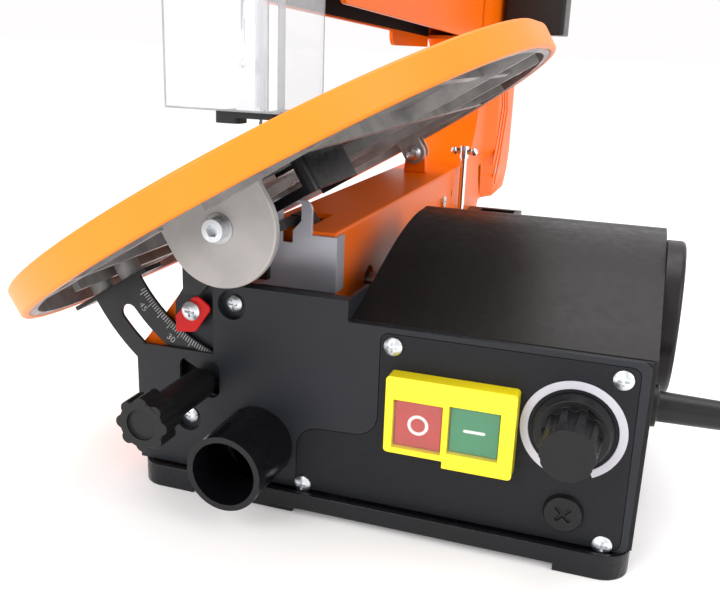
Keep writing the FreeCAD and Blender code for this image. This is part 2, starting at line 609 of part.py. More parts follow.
def make_table_top():
    """Cast plate with a skirt, stiffening ribs, bosses and the insert's counterbore."""
    inset = RIM_BAND
    plate = table_plan(inset, TABLE_UNDER, TABLE_TOP)
    skirt = table_plan(inset, RIM_BOTTOM + 0.6, TABLE_UNDER)
    skirt = skirt.cut(table_plan(inset + 3.5, RIM_BOTTOM, TABLE_UNDER))
    inside = table_plan(inset + 1, RIM_BOTTOM, TABLE_UNDER)
    left, right, thick = LEFT_RIB_BOTTOM, 7.0, 4.0
    ribs = [box(-60, -60 + thick, -80, 272, left, TABLE_UNDER)]
    ribs.append(box(62, 62 + thick, -80, 272, right, TABLE_UNDER))
    for y in (-66, 74, 160, 244):
        ribs.append(box(-140, -12, y, y + thick, left, TABLE_UNDER))
        ribs.append(box(12, 150, y, y + thick, right, TABLE_UNDER))
        ribs.append(box(-12, 12, y, y + thick, 10.5, TABLE_UNDER))
    for x in (-104, 106):
        ribs.append(box(x, x + thick, -20, 216, LEFT_RIB_BOTTOM, TABLE_UNDER))
    ribs = [rib.common(inside) for rib in ribs]
    bosses = [rod(6.5, (x, y, SCALE_FLANGE[1]), (x, y, TABLE_UNDER)) for x, y in SCALE_SCREWS]
    shape = joined([plate, skirt] + ribs + bosses)
    u = INSERT_CENTRE_U
    cuts = [rod(INSERT_RADIUS, (u, 0, 17.2), (u, 0, TABLE_TOP + 1))]
    cuts.append(rod(INSERT_RADIUS - 4, (u, 0, 0), (u, 0, 20)))
    cuts += [rod(2.0, (x, y, 0), (x, y, 12)) for x, y in SCALE_SCREWS]
    return tilted(without(shape, cuts))


def make_table_insert():
    """Round insert with a slot that leaves the blade room at every tilt."""
    u = INSERT_CENTRE_U
    disc = rod(INSERT_RADIUS - 0.2, (u, 0, 17.2), (u, 0, TABLE_TOP - 0.1))
    slot = slab(rectangle(-6, 26, -4, 4, 3.9), "XY", 10, 25)
    return tilted(disc.cut(slot))


def make_front_trunnion():
    """Half-round plate under the table that turns on the front pivot bolt."""
    radius, front, back = 27.2, -42.6, -37.6
    disc = rod(radius, (0, front, 0), (0, back, 0))
    upright = box(-radius, radius, front, back, 0, TABLE_UNDER)
    plate = joined([disc, upright]).common(box(-40, 40, front - 1, back + 1, -40, TABLE_UNDER))
    return tilted(plate.cut(rod(3.0 + RUNNING_GAP, (0, -60, 0), (0, 0, 0))))


def make_rear_trunnion():
    """Two ears under the table that straddle the rear pivot post."""
    half, ears = 8.5, []
    for front, back in ((277.8, 282.4), (289.6, 291.8)):
        ear = rod(half, (0, front, 0), (0, back, 0)).fuse(box(-half, half, front, back, 0, TABLE_UNDER))
        ears.append(ear.cut(rod(3.0 + RUNNING_GAP, (0, front - 1, 0), (0, back + 1, 0))))
    web = box(-half, half, 282.4, 289.6, 11.5, TABLE_UNDER)
    return tilted(joined(ears + [web]))


def polar(radius, degrees):
    """A point of the scale at an angle from straight down, towards the left, at the rest tilt."""
    angle = math.radians(degrees)
    return Vector(-radius * math.sin(angle), 0, -radius * math.cos(angle))


def ring_sector(inner, outer, start, end, front, back):
    """Part of a flat ring about the tilt axis, between two angles from straight down."""
    middle = (start + end) / 2
    edges = [
        Part.Arc(polar(outer, start), polar(outer, middle), polar(outer, end)).toShape(),
        Part.LineSegment(polar(outer, end), polar(inner, end)).toShape(),
        Part.Arc(polar(inner, end), polar(inner, middle), polar(inner, start)).toShape(),
        Part.LineSegment(polar(inner, start), polar(outer, start)).toShape(),
    ]
    face = Part.Face(Part.Wire(edges))
    face.translate(Vector(0, front, 0))
    return face.extrude(Vector(0, back - front, 0))


def make_scale_bracket():
    """Steel tilt scale with a curved slot for the lock stud and a flange under the table."""
    front, back = 2.2, 4.0
    low = ring_sector(81, 107.5, -17, 26, front, back)
    high = ring_sector(81, 113, 26, 60.5, front, back)
    slot_radius, half_slot, slot_ends = 98.8, 4.6, (-12.2, 51.5)
    slot = ring_sector(slot_radius - half_slot, slot_radius + half_slot, *slot_ends, front - 1, back + 1)
    for degrees in slot_ends:
        end = polar(slot_radius, degrees)
        slot = slot.fuse(rod(half_slot, (end.x, front - 1, end.z), (end.x, back + 1, end.z)))
    ring = joined([low, high]).cut(slot)
    ring.rotate(ORIGIN, Vector(0, 1, 0), REST_TILT)
    flange = slab([(-128, front), (-76, front), (-76, 20, 4), (-128, 20, 4)], "XY", *SCALE_FLANGE)
    return tilted(without(joined([ring, flange]), [rod(2.1, (x, y, 0), (x, y, 8)) for x, y in SCALE_SCREWS]))


def make_scale_screws():
    """Two dome-head screws that hold the scale bracket under the table."""
    screws = []
    for x, y in SCALE_SCREWS:
        face = SCALE_FLANGE[0]
        dome = Part.makeSphere(5.4, Vector(x, y, face - 2.6 + 5.4))
        dome = dome.common(rod(4.6, (x, y, face - 2.6), (x, y, face)))
        screws.append(joined([dome, rod(2.0, (x, y, face), (x, y, 12))]))
    return tilted(Part.makeCompound(screws))


def make_dust_hood():
    """Dust hood under the right side of the blade opening, open to the left and below."""
    bottom, flange_under = -4.5, 12.5
    box_plan = [(12, -14), (38, -14, 4), (38, 50, 12), (12, 50, 6)]
    outer = slab(box_plan, "XY", bottom, TABLE_UNDER)
    pocket = rod(12.0, (26, 38, bottom), (26, 38, TABLE_UNDER))
    flange = slab(rectangle(4, 46, -18, 58, 5), "XY", flange_under, TABLE_UNDER)
    inner = slab([(5, -11.5), (35.5, -11.5, 2), (35.5, 47.5, 10), (5, 47.5)], "XY", bottom - 1, flange_under)
    opening = rod(INSERT_RADIUS - 4, (INSERT_CENTRE_U, 0, 0), (INSERT_CENTRE_U, 0, 20))
    return tilted(without(joined([outer, pocket, flange]), [inner, opening]))


# ---- Arms, blade and drive -----------------------------------------------------------------

def arm_tail(half, z):
    """The short tail behind an arm's pivot, with room for the tension rod's pin."""
    eye = rod(6.0, (-half, TAIL_Y, z), (half, TAIL_Y, z))
    return eye.fuse(box(-half, half, ARM_PIVOT_Y, TAIL_Y, z - 6, z + 6))


def make_lower_arm():
    """Lower arm: a beam inside the housing, a goose neck and a narrow front bar with the clamp's eye."""
    half = 4.5
    beam = box(-half, half, 70, 480, 113, 127)
    neck = slab([(88, 113), (88, 127), (60, 146), (47, 146), (47, 141), (52, 141), (74, 113)],
                "YZ", -half, half)
    bar = box(-4.4, 0, -0.5, 50, LOWER_EYE_Z - 2, LOWER_EYE_Z + 2)
    eye = rod(4.5, (-4.4, 0, LOWER_EYE_Z), (0, 0, LOWER_EYE_Z))
    pivot_eye = rod(13.0, (-half, ARM_PIVOT_Y, LOWER_PIVOT_Z), (half, ARM_PIVOT_Y, LOWER_PIVOT_Z))
    tail = arm_tail(half, LOWER_PIVOT_Z)
    drive_y = MOTOR_AXIS[0] + CRANK_THROW
    drive_boss = rod(3.0, (half - 1, drive_y, 122), (half + 0.5, drive_y, 122))
    shape = joined([beam, neck, bar, eye, pivot_eye, tail, drive_boss])
    return without(shape, arm_holes(LOWER_PIVOT_Z, LOWER_EYE_Z))


def make_upper_arm():
    """Upper arm: a tapering beam with the eyes for the upper clamp, the pivot and the tension rod."""
    half, z = 4.5, UPPER_PIVOT_Z
    beam = slab([(480, z - 7), (480, z + 7), (60, 284), (20, 283), (20, 273), (60, 270)], "YZ", -half, half)
    tip = box(-2.2, 2.2, -0.5, 22, UPPER_EYE_Z - 4, UPPER_EYE_Z + 4)
    eye = rod(4.5, (-2.2, 0, UPPER_EYE_Z), (2.2, 0, UPPER_EYE_Z))
    pivot_eye = rod(13.0, (-half, ARM_PIVOT_Y, z), (half, ARM_PIVOT_Y, z))
    tail = arm_tail(half, z)
    return without(joined([beam, tip, eye, pivot_eye, tail]), arm_holes(z, UPPER_EYE_Z))


def arm_holes(pivot_z, eye_z):
    """Bores of an arm: the main pivot, the clamp's pin and the tension rod's pin."""
    return [
        rod(5.0 + RUNNING_GAP, (-10, ARM_PIVOT_Y, pivot_z), (10, ARM_PIVOT_Y, pivot_z)),
        rod(PIN_RADIUS + RUNNING_GAP, (-10, 0, eye_z), (10, 0, eye_z)),
        rod(PIN_RADIUS + RUNNING_GAP, (-10, TAIL_Y, pivot_z), (10, TAIL_Y, pivot_z)),
    ]


def make_arm_pivot_pins():
    """The two fixed pins that the arms rock on, headed at the left."""
    pins = []
    for z in (LOWER_PIVOT_Z, UPPER_PIVOT_Z):
        pin = rod(5.0, (-FLANK_HALF_WIDTH, ARM_PIVOT_Y, z), (FLANK_HALF_WIDTH, ARM_PIVOT_Y, z))
        head = rod(8.0, (-FLANK_HALF_WIDTH - 3, ARM_PIVOT_Y, z), (-FLANK_HALF_WIDTH, ARM_PIVOT_Y, z))
        pins.append(joined([pin, head]))
    return Part.makeCompound(pins)


def make_saw_blade():
    """Plain-end blade with a toothed front edge."""
    low, high, pitch, depth = 149.0, 272.0, 2.54, 0.9
    blade = box(-0.3, 0.3, -1.5, 1.5, low, high)
    tooth = 160.0
    while tooth < 258.0:
        notch = [(-1.6, tooth), (-1.6, tooth + pitch * 0.7), (-1.5 + depth, tooth + 0.3)]
        notch = slab(notch, "YZ", -0.4, 0.4)
        blade = blade.cut(notch)
        tooth += pitch
    return blade


def make_lower_blade_clamp():
    """Lower clamp: a forked block on the arm's eye, with its pin and set screw."""
    z = LOWER_EYE_Z
    cheeks = [box(-7.6, -4.75, -6, 6, z - 5.5, z + 6), box(0.35, 3.2, -6, 6, z - 5.5, z + 6)]
    block = box(-7.6, 5, -6, 6, z + 5.2, z + 14.5)
    pin = rod(PIN_RADIUS, (-7.6, 0, z), (3.2, 0, z))
    screw = rod(2.5, (5, 0, z + 10), (8, 0, z + 10))
    slot = box(-0.3, 0.3, -1.5, 1.5, 149, z + 20)
    return joined(cheeks + [block, pin, screw]).cut(slot)


def make_upper_blade_clamp():
    """Upper clamp: a forked block under the arm's eye, with its pin and set screw."""
    z = UPPER_EYE_Z
    cheeks = [box(-5.4, -2.55, -6, 6, z - 6, z + 5), box(2.55, 5.4, -6, 6, z - 6, z + 5)]
    block = box(-5.4, 5.4, -6, 6, z - 16, z - 5.2)
    pin = rod(PIN_RADIUS, (-5.4, 0, z), (5.4, 0, z))
    screw = rod(2.5, (5.4, 0, z - 11), (9, 0, z - 11))
    slot = box(-0.3, 0.3, -1.5, 1.5, z - 20, 272)
    return joined(cheeks + [block, pin, screw]).cut(slot)


def make_tension_rod():
    """Upright link between the tails of the two arms."""
    bar = box(5, 9, TAIL_Y - 4, TAIL_Y + 4, LOWER_PIVOT_Z - 6, UPPER_PIVOT_Z + 6)
    pins = [rod(PIN_RADIUS, (-4.5, TAIL_Y, z), (5, TAIL_Y, z)) for z in (LOWER_PIVOT_Z, UPPER_PIVOT_Z)]
    return joined([bar] + pins)


def make_motor_shaft():
    """Motor shaft from the crank wheel to the fan."""
    y, z = MOTOR_AXIS
    return rod(5.0, (17, y, z), (193.2, y, z))


def make_crank_wheel():
    """Crank wheel with a balance lobe and the pin that drives the connecting rod."""
    y, z = MOTOR_AXIS
    wheel = rod(11.0, (11, y, z), (17, y, z))
    lobe = slab([(y - 15, z - 9, 5), (y - 2, z - 9), (y - 2, z + 9), (y - 15, z + 9, 5)], "YZ", 11, 17)
    pin = rod(2.5, (5.4, y + CRANK_THROW, z), (11, y + CRANK_THROW, z))
    return joined([wheel, lobe, pin])


def make_connecting_rod():
    """Short rod from the crank pin to beside the lower arm."""
    y, z = MOTOR_AXIS[0] + CRANK_THROW, MOTOR_AXIS[1]
    x0, x1, small_end_z = 5.4, 10.4, 122.0
    big_eye = rod(5.5, (x0, y, z), (x1, y, z))
    small_eye = rod(4.8, (x0, y, small_end_z), (x1, y, small_end_z))
    shank = box(x0, x1, y - 2.2, y + 2.2, z + 3, small_end_z - 3)
    holes = [rod(2.5 + RUNNING_GAP, (0, y, z), (20, y, z))]
    holes.append(rod(2.5, (0, y, small_end_z), (20, y, small_end_z)))
    return without(joined([big_eye, small_eye, shank]), holes)


def make_cooling_fan():
    """Radial fan on the shaft inside the end cap."""
    y, z = MOTOR_AXIS
    x0, x1, blades = 189.5, 193.5, 8
    hub = rod(9.0, (x0, y, z), (x1, y, z))
    disc = rod(31.0, (x0, y, z), (x0 + 1.6, y, z))
    fins = []
    for index in range(blades):
        fin = box(x0, x1, y + 7, y + 31, z - 0.8, z + 0.8)
        fin.rotate(Vector(0, y, z), Vector(1, 0, 0), 360.0 * index / blades)
        fins.append(fin)
    return joined([hub, disc] + fins).cut(rod(5.0, (180, y, z), (210, y, z)))


# ---- Hold-down, guard and fittings ---------------------------------------------------------

def make_hold_down_bar():
    """Flat bar that slides in the nose and carries the foot and the guard."""
    bar = box(-6, 6, -12.5, -9.5, 203.6, 320)
    slots = [slab(rectangle(-2.2, 2.2, low, low + 12, 2.1), "XZ", -15, -5) for low in (232, 250)]
    return without(bar, slots + [rod(2.0, (0, -15, 223), (0, -5, 223))])


def make_hold_down_foot():
    """Forked foot that holds the work down round the blade."""
    plate = slab([(-17, -14, 3), (14, -14, 3), (14, 16, 3), (4, 16, 1), (4, -4, 3), (-4, -4, 3),
                  (-4, 16, 1), (-17, 16, 3)], "XY", 200.4, 203.2)
    pad = slab(rectangle(-17, -4, -14, -4, 3), "XY", 197.8, 203.2)
    tab = box(-6, 6, -9.5, -7, 203.2, 230)
    return joined([plate, pad, tab]).cut(rod(2.0, (0, -15, 223), (0, -5, 223)))


def make_guard_screw():
    """Screw that clamps the foot to the bar."""
    return pan_head_screw(0, 223, -12.5, 4.4, 8)


def make_blade_guard():
    """Clear three-sided guard round the front of the blade, with a rib to the bar."""
    bottom, top = 203.6, 266.0
    plan = [(-38.5, 32), (-38.5, -20, 5), (18.5, -20, 5), (18.5, 32), (16.5, 32), (16.5, -18, 3),
            (-36.5, -18, 3), (-36.5, 32)]
    walls = slab(plan, "XY", bottom, top)
    rib = box(-4, 4, -18, -12.5, 238, 262)
    return joined([walls, rib])


def make_hold_down_knob():
    """Clamp knob of the hold-down, with its screw."""
    z = HOLD_DOWN_KNOB_Z
    knob = rod(11.0, (0, -42, z), (0, -28, z))
    for index in range(6):
        angle = math.pi * index / 3
        gx, gz = 12.5 * math.cos(angle), z + 12.5 * math.sin(angle)
        knob = knob.cut(rod(3.4, (gx, -43, gz), (gx, -27, gz)))
    return joined([knob, rod(2.5, (0, -28, z), (0, -13, z))])


def make_tension_lever():
    """Cam lever on top of the column that tensions the blade."""
    cam = rod(7.0, (-8.2, 471, 338), (8.2, 471, 338))
    handle = slab([(471, 334), (471, 344), (408, 349, 3), (404, 343, 3)], "YZ", -6, 6)
    pin = rod(3.0, (-13, 471, 338), (13, 471, 338))
    return joined([cam, handle, pin])


def make_tool_holder():
    """Open tool pocket on the right of the frame, with a hole for the hex wrench."""
    front = box(ARM_HALF_WIDTH, 42, 322, 360, 60, 96)
    rear = box(ARM_HALF_WIDTH, 71, 360, 402, 60, 96)
    pocket = box(36, 66, 366, 396, 64, 100)
    hole = rod(3.0, (WRENCH[0], WRENCH[1], 64), (WRENCH[0], WRENCH[1], 100))
    return without(joined([front, rear]), [pocket, hole])


def make_hex_wrench():
    """T-handled hex wrench that stands in the tool holder."""
    x, y = WRENCH
    reach, height = 8.0, 153.5
    shank = rod(2.6, (x, y, 64.3), (x, y, 152))
    hub = rod(3.6, (x, y, 148), (x, y, 158))
    bar = rod(2.5, (x - reach, y, height), (x + reach, y, height))
    ends = [Part.makeSphere(3.3, Vector(x + side * reach, y, height)) for side in (-1, 1)]
    return joined([shank, hub, bar] + ends)


def make_storage_box():
    """Open-topped blade box on the column's right flank."""
    outer = slab(rectangle(FLANK_HALF_WIDTH, 87, 452, 500, 4), "XY", 249, 316)
    inner = slab(rectangle(FLANK_HALF_WIDTH + 2.2, 84.8, 454.2, 497.8, 2), "XY", 251.2, 320)
    return outer.cut(inner)


def make_storage_lid():
    """Hinged lid of the blade box."""
    plate = slab(rectangle(FLANK_HALF_WIDTH + 0.6, 87, 452, 500, 4), "XY", 316.4, 319)
    barrel = rod(2.0, (42, 502, 318), (77, 502, 318))
    return joined([plate, box(42, 77, 496, 502, 316.4, 319), barrel])


# ---- Mains lead ----------------------------------------------------------------------------

def make_cord_strain_relief():
    """Sleeve that the mains lead leaves by, on the right wall of the motor cover."""
    flange = rod(10.0, (MOTOR_COVER_RIGHT, 30, 76), (MOTOR_COVER_RIGHT + 3, 30, 76))
    sleeve = cone(7.3, 6.6, (MOTOR_COVER_RIGHT + 3, 30, 76), (226, 30, 76))
    inner = rod(3.9, (MOTOR_COVER_RIGHT - 8, 30, 76), (MOTOR_COVER_RIGHT, 30, 76))
    return joined([flange, sleeve, inner])


def rounded_path(points):
    """Straight runs joined by tangent arcs as large as the two runs allow. Prints the radii."""
    points = [Vector(*point) for point in points]
    edges, radii, last = [], [], points[0]
    for before, corner, after in zip(points, points[1:], points[2:]):
        back, forward = (before - corner), (after - corner)
        short = min(back.Length, forward.Length)
        back.normalize()
        forward.normalize()
        half_turn = (math.pi - back.getAngle(forward)) / 2
        reach = 0.45 * short
        radius = reach / math.tan(half_turn)
        radii.append(round(radius, 1))
        first, final = corner + back * reach, corner + forward * reach
        bisector = (back + forward).normalize()
        middle = corner + bisector * (radius / math.cos(half_turn) - radius)
        edges.append(Part.LineSegment(last, first).toShape())
        edges.append(Part.Arc(first, middle, final).toShape())
        last = final
    edges.append(Part.LineSegment(last, points[-1]).toShape())
    print("lead radii", radii)
    return Part.Wire(edges)


def make_cord_lead():
    """The lead from the strain relief down to the coil."""
    path = rounded_path(LEAD_ROUTE)
    start = Vector(*LEAD_ROUTE[0])
    circle = Part.Wire(Part.makeCircle(LEAD_RADIUS, start, Vector(*LEAD_ROUTE[1]) - start))
    tube = path.makePipeShell([circle], True, False)
    print("lead volume over section times length", tube.Volume / (math.pi * LEAD_RADIUS ** 2 * path.Length))
    return tube


def make_cord_coil():
    """Outer shape of the coiled rest of the lead."""
    x, y = COIL_CENTRE
    ring = rod(COIL_OUTER, (x, y, 0), (x, y, COIL_HEIGHT))
    return ring.cut(rod(COIL_INNER, (x, y, -1), (x, y, COIL_HEIGHT + 1)))


def make_mains_plug():
    """Two-pin plug that lies beside the coil."""
    along = Vector(-math.cos(math.radians(30)), math.sin(math.radians(30)), 0)
    side = Vector(along.y, -along.x, 0)
    neck = Vector(COIL_CENTRE[0] + 4.5, COIL_CENTRE[1] + 55.5, 18.2)
    tail_start = Vector(COIL_CENTRE[0] + 23.0, COIL_CENTRE[1] + 44.5, 10.5)
    shoulder, face = neck + along * 24, neck + along * 34
    parts = [cone(3.8, 5.6, tail_start, neck), cone(9.0, 18.0, neck, shoulder)]
    parts.append(rod(18.0, shoulder, face))
    for sign in (-1, 1):
        root = face + side * (9.5 * sign)
        parts.append(rod(2.4, root, root + along * 19))
    return joined(parts)


NODES = {
    "base_plate": make_base_plate,
    "lower_housing": make_lower_housing,
    "rear_column": make_rear_column,
    "upper_housing": make_upper_housing,
    "front_sheet_bracket": make_front_sheet_bracket,
    "front_cover": make_front_cover,
    "control_panel": make_control_panel,
    "motor_cover": make_motor_cover,
    "motor_end_cap": make_motor_end_cap,
    "motor_body": make_motor_body,
    "dust_port": make_dust_port,
    "switch_housing": make_switch_housing,
    "stop_button": lambda: make_button(STOP_WINDOW),
    "start_button": lambda: make_button(START_WINDOW),
    "speed_dial_plate": make_speed_dial_plate,
    "speed_knob": make_speed_knob,
    "potentiometer": make_potentiometer,
    "control_board": make_control_board,
    "fuse_cap": make_fuse_cap,
    "panel_screws": make_panel_screws,
    "cover_screws": make_cover_screws,
    "tilt_pointer": make_tilt_pointer,
    "lock_stud": make_lock_stud,
    "tilt_lock_knob": make_tilt_lock_knob,
    "front_pivot_bracket": make_front_pivot_bracket,
    "rear_pivot_post": make_rear_pivot_post,
    "table_pivot_bolts": make_table_pivot_bolts,
    "table_rim": make_table_rim,
    "table_top": make_table_top,
    "table_insert": make_table_insert,
    "front_trunnion": make_front_trunnion,
    "rear_trunnion": make_rear_trunnion,
    "scale_bracket": make_scale_bracket,
    "scale_screws": make_scale_screws,
    "dust_hood": make_dust_hood,
    "lower_arm": make_lower_arm,
    "upper_arm": make_upper_arm,
    "arm_pivot_pins": make_arm_pivot_pins,
    "saw_blade": make_saw_blade,
    "lower_blade_clamp": make_lower_blade_clamp,
    "upper_blade_clamp": make_upper_blade_clamp,
    "tension_rod": make_tension_rod,
    "motor_shaft": make_motor_shaft,
    "crank_wheel": make_crank_wheel,
    "connecting_rod": make_connecting_rod,
    "cooling_fan": make_cooling_fan,
    "hold_down_bar": make_hold_down_bar,
    "hold_down_foot": make_hold_down_foot,
    "guard_screw": make_guard_screw,
    "blade_guard": make_blade_guard,
    "hold_down_knob": make_hold_down_knob,
    "tension_lever": make_tension_lever,
    "tool_holder": make_tool_holder,
    "hex_wrench": make_hex_wrench,
    "storage_box": make_storage_box,
    "storage_lid": make_storage_lid,
    "cord_strain_relief": make_cord_strain_relief,
    "cord_lead": make_cord_lead,
    "cord_coil": make_cord_coil,
    "mains_plug": make_mains_plug,
}


os.makedirs("parts", exist_ok=True)
for node, make in NODES.items():
    shape = make()
    print(node, len(shape.Solids), "solids, valid", shape.isValid(), round(shape.Volume))
    shape.exportStep("parts/" + node + ".step")
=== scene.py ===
import json
import math

import bmesh
import bpy
from mathutils import Matrix, Vector


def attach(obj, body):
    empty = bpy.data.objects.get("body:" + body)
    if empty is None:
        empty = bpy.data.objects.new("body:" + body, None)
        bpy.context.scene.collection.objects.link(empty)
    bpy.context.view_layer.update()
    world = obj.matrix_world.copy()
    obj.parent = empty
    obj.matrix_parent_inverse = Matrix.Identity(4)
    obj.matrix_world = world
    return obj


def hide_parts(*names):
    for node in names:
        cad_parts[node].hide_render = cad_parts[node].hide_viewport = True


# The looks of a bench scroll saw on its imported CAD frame, in the frame's axes: X to the operator's
# right, Y to the rear, Z up, blade at X = 0 and Y = 0, feet on Z = 0. The lead, the camera and the
# lights are in metres. Drawings of pieces are in millimetres, and MM takes them to metres.

MM = 0.001
PIVOT_HEIGHT = 155.6
REST_TILT = math.radians(31.5)

LEAD_DIAMETER = 0.0075
LEAD_ROUTE = (
    (0.226, 0.030, 0.076), (0.250, 0.030, 0.076), (0.276, 0.036, 0.063), (0.294, 0.047, 0.042),
    (0.308, 0.058, 0.022), (0.323, 0.070, 0.008), (0.3385, 0.0825, 0.00375),
)
COIL_CENTRE = (0.318, 0.118)
PLUG_TAIL = ((0.023, 0.0445, 0.0105), (0.0138, 0.050, 0.0143), (0.0045, 0.0555, 0.0182))

# Faces and places of the CAD pieces that the details sit on, in millimetres
BUTTON_FACE, BUTTON_FRAME_FACE = -6.5, -9.0
STOP_BUTTON = (73.3, 96.7, 50.3, 74.2)
START_BUTTON = (100.3, 123.7, 51.8, 75.2)
SCALE_FACE = 2.2
TRUNNION_FACE = -42.6
GUARD_LEFT, GUARD_RIGHT, GUARD_FRONT, GUARD_BACK = -38.5, 18.5, -20.0, 32.0
GUARD_BOTTOM, GUARD_TOP, GUARD_WALL = 203.6, 266.0, 2.0
HOUSING_SIDE, FLANK_SIDE = 24.0, 32.0
SKIRT_FRONT = 7.0

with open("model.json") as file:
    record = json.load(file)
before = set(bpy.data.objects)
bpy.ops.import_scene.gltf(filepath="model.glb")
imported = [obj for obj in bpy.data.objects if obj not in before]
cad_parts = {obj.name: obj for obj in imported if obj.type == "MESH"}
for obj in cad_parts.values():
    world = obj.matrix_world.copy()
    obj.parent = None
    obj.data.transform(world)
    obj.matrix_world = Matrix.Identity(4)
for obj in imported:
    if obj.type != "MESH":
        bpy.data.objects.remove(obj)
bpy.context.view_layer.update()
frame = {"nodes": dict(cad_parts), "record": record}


# ---- Materials ------------------------------------------------------------------------------

def principled(name, colour, roughness, metallic=0.0, **sockets):
    """A Principled material; further sockets are given as name=value with _ for a space."""
    material = bpy.data.materials.new(name)
    material.use_nodes = True
    shader = material.node_tree.nodes["Principled BSDF"]
    shader.inputs["Base Color"].default_value = (*colour, 1.0)
    shader.inputs["Roughness"].default_value = roughness
    shader.inputs["Metallic"].default_value = metallic
    for socket, value in sockets.items():
        shader.inputs[socket.replace("_", " ")].default_value = value
    material.diffuse_color = (*colour, 1.0)
    return material


def noise(material, scale, detail=3.0):
    """A noise texture in the object's own coordinates, one scale unit per metre."""
    nodes, links = material.node_tree.nodes, material.node_tree.links
    place = nodes.new("ShaderNodeTexCoord")
    texture = nodes.new("ShaderNodeTexNoise")
    texture.inputs["Scale"].default_value = scale
    texture.inputs["Detail"].default_value = detail
    links.new(place.outputs["Object"], texture.inputs["Vector"])
    return texture


def grain(material, scale, strength, depth, detail=3.0):
    """Adds a fine bump to the surface. Depth is in metres."""
    nodes, links = material.node_tree.nodes, material.node_tree.links
    texture = noise(material, scale, detail)
    bump = nodes.new("ShaderNodeBump")
    bump.inputs["Strength"].default_value = strength
    bump.inputs["Distance"].default_value = depth
    links.new(texture.outputs["Fac"], bump.inputs["Height"])
    links.new(bump.outputs["Normal"], nodes["Principled BSDF"].inputs["Normal"])
    return material


def mottle(material, scale, dark, light, low=0.35, high=0.65):
    """Colour that wanders between two tones over the surface."""
    nodes, links = material.node_tree.nodes, material.node_tree.links
    texture = noise(material, scale)
    ramp = nodes.new("ShaderNodeValToRGB")
    ramp.color_ramp.elements[0].position = low
    ramp.color_ramp.elements[0].color = (*dark, 1.0)
    ramp.color_ramp.elements[1].position = high
    ramp.color_ramp.elements[1].color = (*light, 1.0)
    links.new(texture.outputs["Fac"], ramp.inputs["Fac"])
    links.new(ramp.outputs["Color"], nodes["Principled BSDF"].inputs["Base Color"])
    return material


def uneven_gloss(material, scale, low, high):
    """Roughness that wanders between two values over the surface."""
    nodes, links = material.node_tree.nodes, material.node_tree.links
    texture = noise(material, scale)
    span = nodes.new("ShaderNodeMapRange")
    span.inputs["From Min"].default_value = 0.3
    span.inputs["From Max"].default_value = 0.7
    span.inputs["To Min"].default_value = low
    span.inputs["To Max"].default_value = high
    links.new(texture.outputs["Fac"], span.inputs["Value"])
    links.new(span.outputs["Result"], nodes["Principled BSDF"].inputs["Roughness"])
    return material


def orange_paint():
    """Glossy orange enamel of the arm frame."""
    paint = principled("orange_paint", (0.90, 0.145, 0.002), 0.34, Specular_IOR_Level=0.12)
    mottle(paint, 9.0, (0.88, 0.138, 0.002), (0.91, 0.152, 0.003))
    return grain(paint, 260.0, 0.10, 0.0004)


def rim_paint():
    """Lighter satin orange of the table's band."""
    paint = principled("rim_paint", (0.94, 0.235, 0.012), 0.40, Specular_IOR_Level=0.3)
    mottle(paint, 14.0, (0.92, 0.225, 0.010), (0.95, 0.245, 0.014))
    return grain(paint, 420.0, 0.12, 0.0003)


def table_casting():
    """As-cast grey metal of the table."""
    metal = principled("table_casting", (0.32, 0.31, 0.30), 0.45, 0.6)
    mottle(metal, 70.0, (0.26, 0.25, 0.245), (0.37, 0.36, 0.35))
    uneven_gloss(metal, 40.0, 0.32, 0.55)
    return grain(metal, 700.0, 0.35, 0.0004)


def ground_top():
    """Finely ground working face of the table."""
    metal = principled("ground_top", (0.52, 0.52, 0.51), 0.32, 0.9)
    uneven_gloss(metal, 30.0, 0.29, 0.36)
    return grain(metal, 900.0, 0.10, 0.0002)


def blasted_grey():
    """Bead-blasted aluminium of the front trunnion."""
    metal = principled("blasted_grey", (0.40, 0.38, 0.365), 0.5, 0.45)
    mottle(metal, 45.0, (0.36, 0.345, 0.33), (0.44, 0.42, 0.405))
    return grain(metal, 1500.0, 0.45, 0.00025)


def sheet_grey():
    """Light grey powder coat of the bent sheet."""
    paint = principled("sheet_grey", (0.47, 0.47, 0.52), 0.34, 0.35)
    mottle(paint, 25.0, (0.44, 0.44, 0.49), (0.50, 0.50, 0.55))
    return grain(paint, 800.0, 0.08, 0.0002)


def cast_black():
    """Hammered black enamel of the base casting."""
    paint = principled("cast_black", (0.006, 0.006, 0.008), 0.34, Specular_IOR_Level=0.3)
    uneven_gloss(paint, 120.0, 0.22, 0.45)
    return grain(paint, 420.0, 0.55, 0.0009)


def charcoal_plastic():
    """Satin charcoal plastic of the front cover."""
    plastic = principled("charcoal_plastic", (0.013, 0.0145, 0.019), 0.44, Specular_IOR_Level=0.3)
    mottle(plastic, 18.0, (0.0115, 0.013, 0.017), (0.0145, 0.016, 0.021))
    return grain(plastic, 900.0, 0.12, 0.0002)


def panel_black():
    """Finely textured black plastic of the control panel."""
    plastic = principled("panel_black", (0.009, 0.0098, 0.0125), 0.44, Specular_IOR_Level=0.22)
    uneven_gloss(plastic, 500.0, 0.36, 0.55)
    return grain(plastic, 1300.0, 0.55, 0.0004, 2.0)


def cover_black():
    """Satin black sheet of the motor cover and its fittings."""
    plastic = principled("cover_black", (0.008, 0.0065, 0.006), 0.34, Specular_IOR_Level=0.3)
    uneven_gloss(plastic, 200.0, 0.32, 0.44)
    return grain(plastic, 1100.0, 0.22, 0.0003)


def port_black():
    """Semi-gloss black plastic of the dust parts."""
    plastic = principled("port_black", (0.004, 0.004, 0.0055), 0.27, Specular_IOR_Level=0.35)
    uneven_gloss(plastic, 60.0, 0.22, 0.34)
    return grain(plastic, 700.0, 0.08, 0.0002)


